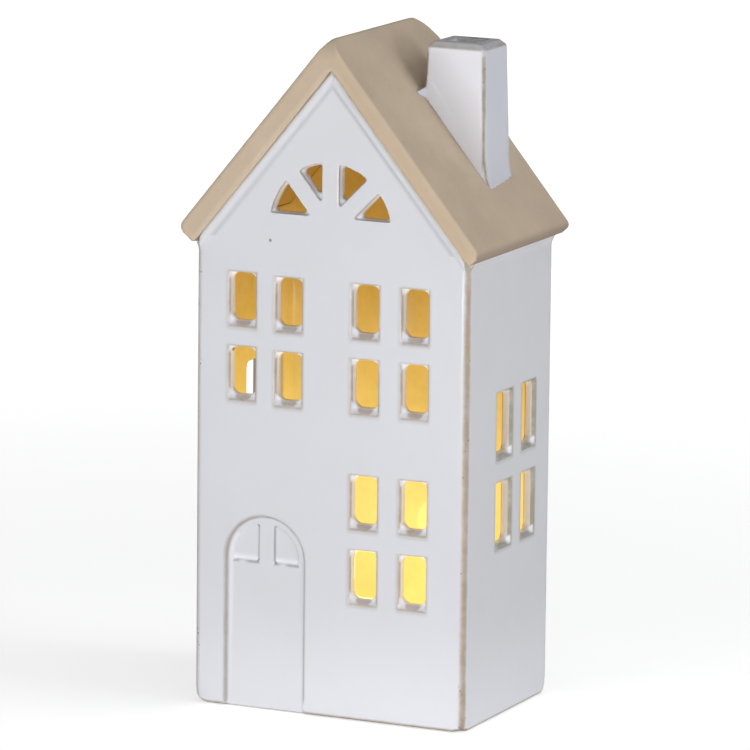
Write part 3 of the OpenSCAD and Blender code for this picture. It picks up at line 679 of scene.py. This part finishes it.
# painted shade on the end faces and undersides of the eaves
eave_end_shade = soft_step(np.abs(rc[:, 0] - MID_X) / MM, HALF_W / MM - 4, HALF_W / MM - 1) * (np.abs(rn[:, 1]) < 0.6)
store(roof.data, "crease_shade", eave_end_shade * (1 - soft_step(rn[:, 2], -0.2, 0.62)))
right_half = 0.4 + 0.6 * soft_step((rc[:, 0] - MID_X) / MM, -5, 15)
store(roof.data, "ochre", soft_step(-rn[:, 1], 0.60, 0.90) * right_half)
roof.data.materials.append(bisque("bisque_clay", 0.55))
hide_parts("roof")
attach(roof, "house")

chimney = fired_copy("chimney", "chimney_glazed", 0.00030 * quick_mesh, 10)
smooth_foot(chimney)
mark_chimney(chimney)
chimney.data.materials.append(glaze("glaze_chimney", False, GLAZE_COOL, 0.5))
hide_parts("chimney")
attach(chimney, "house")

floor_piece = fired_copy("base_plate", "floor_bisque", 0.0008 * quick_mesh, 4)
fc = read_points(floor_piece.data)
store(floor_piece.data, "inner", fc[:, 2] > FLOOR_HI[2] - 0.4 * MM)
store(floor_piece.data, "rim", rim_of(floor_piece.data, 6))
store(floor_piece.data, "crease_shade", np.zeros(len(fc)))
floor_piece.data.materials.append(bisque("bisque_floor", 1.0))
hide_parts("base_plate")
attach(floor_piece, "house")


# Light module

def moulded(name, colour, rough=0.45, grain=700, glow=None):
    """Injection-moulded plastic: fine spark-eroded grain and faint flow clouds."""
    s = Shade(name)
    cloud = s.ramp(s.noise(60, 2, 0.5), 0.3, 0.7)
    dark = tuple(c * 0.90 for c in colour)
    s.set(Base_Color=s.mix(cloud, dark, colour), Roughness=s.ramp(s.noise(180, 2, 0.5), 0.3, 0.7, rough - 0.06, rough + 0.06),
          Normal=s.bump(s.noise(grain, 3, 0.6), 0.00004, 0.5))
    if glow:
        s.set(Emission_Color=(*glow[0], 1.0), Emission_Strength=s.ramp(s.noise(90, 2, 0.5), 0.3, 0.7, glow[1] * 0.92, glow[1]))
    return s.mat


def metal(name, colour, rough=0.3, stretch=(1, 1, 1), brush=600):
    """Stamped or drawn metal: fine lines and a little tarnish."""
    s = Shade(name)
    lines = s.noise(brush, 2, 0.5, stretch=stretch)
    tarnish = s.ramp(s.noise(150, 3, 0.6), 0.35, 0.75)
    s.set(Base_Color=s.mix(s.math("MULTIPLY", tarnish, 0.5), colour, tuple(c * 0.72 for c in colour)),
          Roughness=s.ramp(lines, 0.3, 0.7, rough - 0.08, rough + 0.10), Normal=s.bump(lines, 0.00002, 0.4))
    s.bsdf.inputs["Metallic"].default_value = 1.0
    return s.mat


def board_material():
    """Solder mask with copper tracks showing through as raised, paler lines."""
    s = Shade("board_mask")
    tracks = s.ramp(s.math("ABSOLUTE", s.math("SUBTRACT", s.noise(120, 1, 0.4), 0.5)), 0.02, 0.035, 1.0, 0.0)
    s.set(Base_Color=s.mix(tracks, (0.035, 0.150, 0.070), (0.080, 0.260, 0.110)), Roughness=s.ramp(tracks, 0, 1, 0.38, 0.28),
          Normal=s.bump(tracks, 0.00003, 0.6))
    return s.mat


def bands_material():
    """Resistor: tan lacquer with plain colour bands along its length."""
    s = Shade("resistor_lacquer")
    y = s.ramp(s.axis(1), -0.002, 0.002, smooth=False)
    n = s.stops(y, [(0.0, (0.62, 0.50, 0.32)), (0.18, (0.30, 0.12, 0.05)), (0.27, (0.62, 0.50, 0.32)),
                    (0.40, (0.03, 0.03, 0.03)), (0.48, (0.62, 0.50, 0.32)), (0.60, (0.30, 0.12, 0.05)),
                    (0.68, (0.62, 0.50, 0.32)), (0.84, (0.55, 0.42, 0.12)), (0.92, (0.62, 0.50, 0.32))])
    n.node.color_ramp.interpolation = "CONSTANT"
    s.set(Base_Color=n, Roughness=s.ramp(s.noise(400, 2, 0.5), 0.3, 0.7, 0.22, 0.34))
    return s.mat


def paint(node, mat):
    o = NODES[node]
    o.data.materials.clear()
    o.data.materials.append(mat)


plastic = moulded("housing_plastic", (0.80, 0.79, 0.75))
paint("lamp_housing", plastic)
paint("battery_cover", plastic)
paint("lamp_lens", moulded("frosted_lens", (0.95, 0.86, 0.66), 0.5, 500, ((1.0, 0.66, 0.20), 1.6)))
paint("led", moulded("diode_resin", (0.95, 0.80, 0.40), 0.2, 300, ((1.0, 0.70, 0.30), 3.0)))
paint("grommet", moulded("soft_ring", (0.66, 0.65, 0.60), 0.62, 500))
paint("switch_knob", moulded("knob_plastic", (0.045, 0.045, 0.050), 0.5, 900))
paint("board_leads", metal("tinned_wire", (0.66, 0.66, 0.68), 0.35))
paint("board_screws", metal("screw_steel", (0.60, 0.60, 0.62), 0.32))
paint("switch_body", metal("switch_shell", (0.56, 0.57, 0.59), 0.36, (1, 8, 1)))
paint("switch_pins", metal("pin_brass", (0.70, 0.56, 0.28), 0.34))
paint("negative_contact", metal("contact_steel", (0.66, 0.64, 0.58), 0.30, (1, 6, 1)))
paint("positive_contact", metal("contact_steel_b", (0.66, 0.64, 0.58), 0.30, (1, 1, 6)))
paint("upper_cell", metal("cell_can", (0.66, 0.66, 0.68), 0.28, (1, 1, 1), 900))
paint("lower_cell", metal("cell_can_b", (0.66, 0.66, 0.68), 0.28, (1, 1, 1), 900))
paint("circuit_board", board_material())
paint("resistor", bands_material())


# Floor, light and camera

FLOOR_SEEN = 0.60
FLOOR_SEEN_FAR = 1.00


def stage_floor():
    """Pale studio floor: white to the camera where it is fully lit, and it keeps the house's shadow."""
    mesh = bpy.data.meshes.new("studio_floor")
    r = 6.0
    mesh.from_pydata([(-r, -r, 0), (r, -r, 0), (r, r, 0), (-r, r, 0)], [], [(0, 1, 2, 3)])
    o = bpy.data.objects.new("studio_floor", mesh)
    o.location = (0, 0, -0.0002)
    bpy.context.scene.collection.objects.link(o)
    s = Shade("studio_white")
    s.set(Base_Color=s.mix(s.noise(3, 2, 0.5), (0.93, 0.93, 0.93), (0.95, 0.95, 0.95)))
    s.bsdf.inputs["Roughness"].default_value = 0.9
    s.bsdf.inputs["Specular IOR Level"].default_value = 0.1
    path = s.t.nodes.new("ShaderNodeLightPath")
    mirrored = s.math("MULTIPLY", path.outputs["Is Glossy Ray"], 0.30)
    s.bsdf.inputs["Emission Color"].default_value = (1, 1, 1, 1)
    away = s.t.nodes.new("ShaderNodeVectorMath")
    away.operation = "LENGTH"
    s.link(s.point(), away.inputs[0])
    level = s.ramp(away.outputs["Value"], 0.15, 1.2, FLOOR_SEEN, FLOOR_SEEN_FAR)
    s.set(Emission_Strength=s.math("MAXIMUM", s.math("MULTIPLY", path.outputs["Is Camera Ray"], level), mirrored))
    mesh.materials.append(s.mat)


stage_floor()


def set_world():
    """White surround like a light tent, weaker overhead; pure white where the camera sees it."""
    w = bpy.data.worlds.new("studio")
    bpy.context.scene.world = w
    w.use_nodes = True
    t = w.node_tree
    t.nodes.clear()
    out = t.nodes.new("ShaderNodeOutputWorld")
    lit = t.nodes.new("ShaderNodeBackground")
    lit.inputs["Color"].default_value = (0.97, 0.98, 1.0, 1)
    where = t.nodes.new("ShaderNodeTexCoord")
    split = t.nodes.new("ShaderNodeSeparateXYZ")
    t.links.new(where.outputs["Generated"], split.inputs[0])
    level = t.nodes.new("ShaderNodeMapRange")
    level.inputs["From Min"].default_value = 0.0
    level.inputs["From Max"].default_value = 0.9
    level.inputs["To Min"].default_value = TENT_SIDE
    level.inputs["To Max"].default_value = TENT_TOP
    t.links.new(split.outputs[2], level.inputs["Value"])
    t.links.new(level.outputs["Result"], lit.inputs["Strength"])
    seen = t.nodes.new("ShaderNodeBackground")
    seen.inputs["Color"].default_value = (1, 1, 1, 1)
    seen.inputs["Strength"].default_value = 1.0
    path = t.nodes.new("ShaderNodeLightPath")
    mix = t.nodes.new("ShaderNodeMixShader")
    add = t.nodes.new("ShaderNodeMath")
    add.operation = "MAXIMUM"
    t.links.new(path.outputs["Is Camera Ray"], add.inputs[0])
    t.links.new(path.outputs["Is Transmission Ray"], add.inputs[1])
    t.links.new(add.outputs[0], mix.inputs[0])
    t.links.new(lit.outputs[0], mix.inputs[1])
    t.links.new(seen.outputs[0], mix.inputs[2])
    t.links.new(mix.outputs[0], out.inputs[0])


TENT_SIDE = 0.38
TENT_TOP = 0.04
set_world()


def softbox(name, place, aim, size, watts, colour=(1, 1, 1)):
    d = bpy.data.lights.new(name, "AREA")
    d.shape = "RECTANGLE"
    d.size, d.size_y = size
    d.energy = watts
    d.color = colour
    o = bpy.data.objects.new(name, d)
    o.location = place
    o.rotation_euler = (Vector(aim) - Vector(place)).to_track_quat("-Z", "Y").to_euler()
    bpy.context.scene.collection.objects.link(o)
    return o


MID = (0, 0, 0.1)
softbox("key_front", (-0.55, -1.7, 0.40), MID, (1.0, 0.9), 4.5)
softbox("fill_right", (1.7, 0.1, 0.45), MID, (0.6, 0.7), 4.2, (0.96, 0.965, 1.0))
softbox("right_high", (1.1, 0.15, 0.95), MID, (0.6, 0.6), 2.4)
softbox("top_soft", (0.2, 0.0, 1.4), MID, (0.8, 0.8), 2.6)
softbox("low_front", (0.20, -0.62, 0.055), (0, 0, 0.03), (0.75, 0.10), 2.1)

glow_lamp = bpy.data.lights.new("inner_glow", "POINT")
glow_lamp.energy = 0.02
glow_lamp.color = (1.0, 0.66, 0.25)
glow_lamp.shadow_soft_size = 0.010
glow_obj = bpy.data.objects.new("inner_glow", glow_lamp)
glow_obj.location = (0, 0, 0.050)
bpy.context.scene.collection.objects.link(glow_obj)

cam = bpy.data.cameras.new("camera")
cam.lens = 310.6408
cam.sensor_width = 36.0
cam.clip_start = 0.01
cam.clip_end = 50
cam_obj = bpy.data.objects.new("camera", cam)
right = Vector((0.905211, 0.4248258, 0.01077424))
up = Vector((-0.08863516, 0.16394498, 0.98247944))
back = Vector((0.41561623, -0.89030617, 0.1860593))
m = Matrix((right, up, back)).transposed().to_4x4()
m.translation = (0.919324, -1.968792, 0.523767)
cam_obj.matrix_world = m
bpy.context.scene.collection.objects.link(cam_obj)
bpy.context.scene.camera = cam_obj

bpy.context.scene.view_settings.view_transform = "Standard"


bpy.context.view_layer.update()
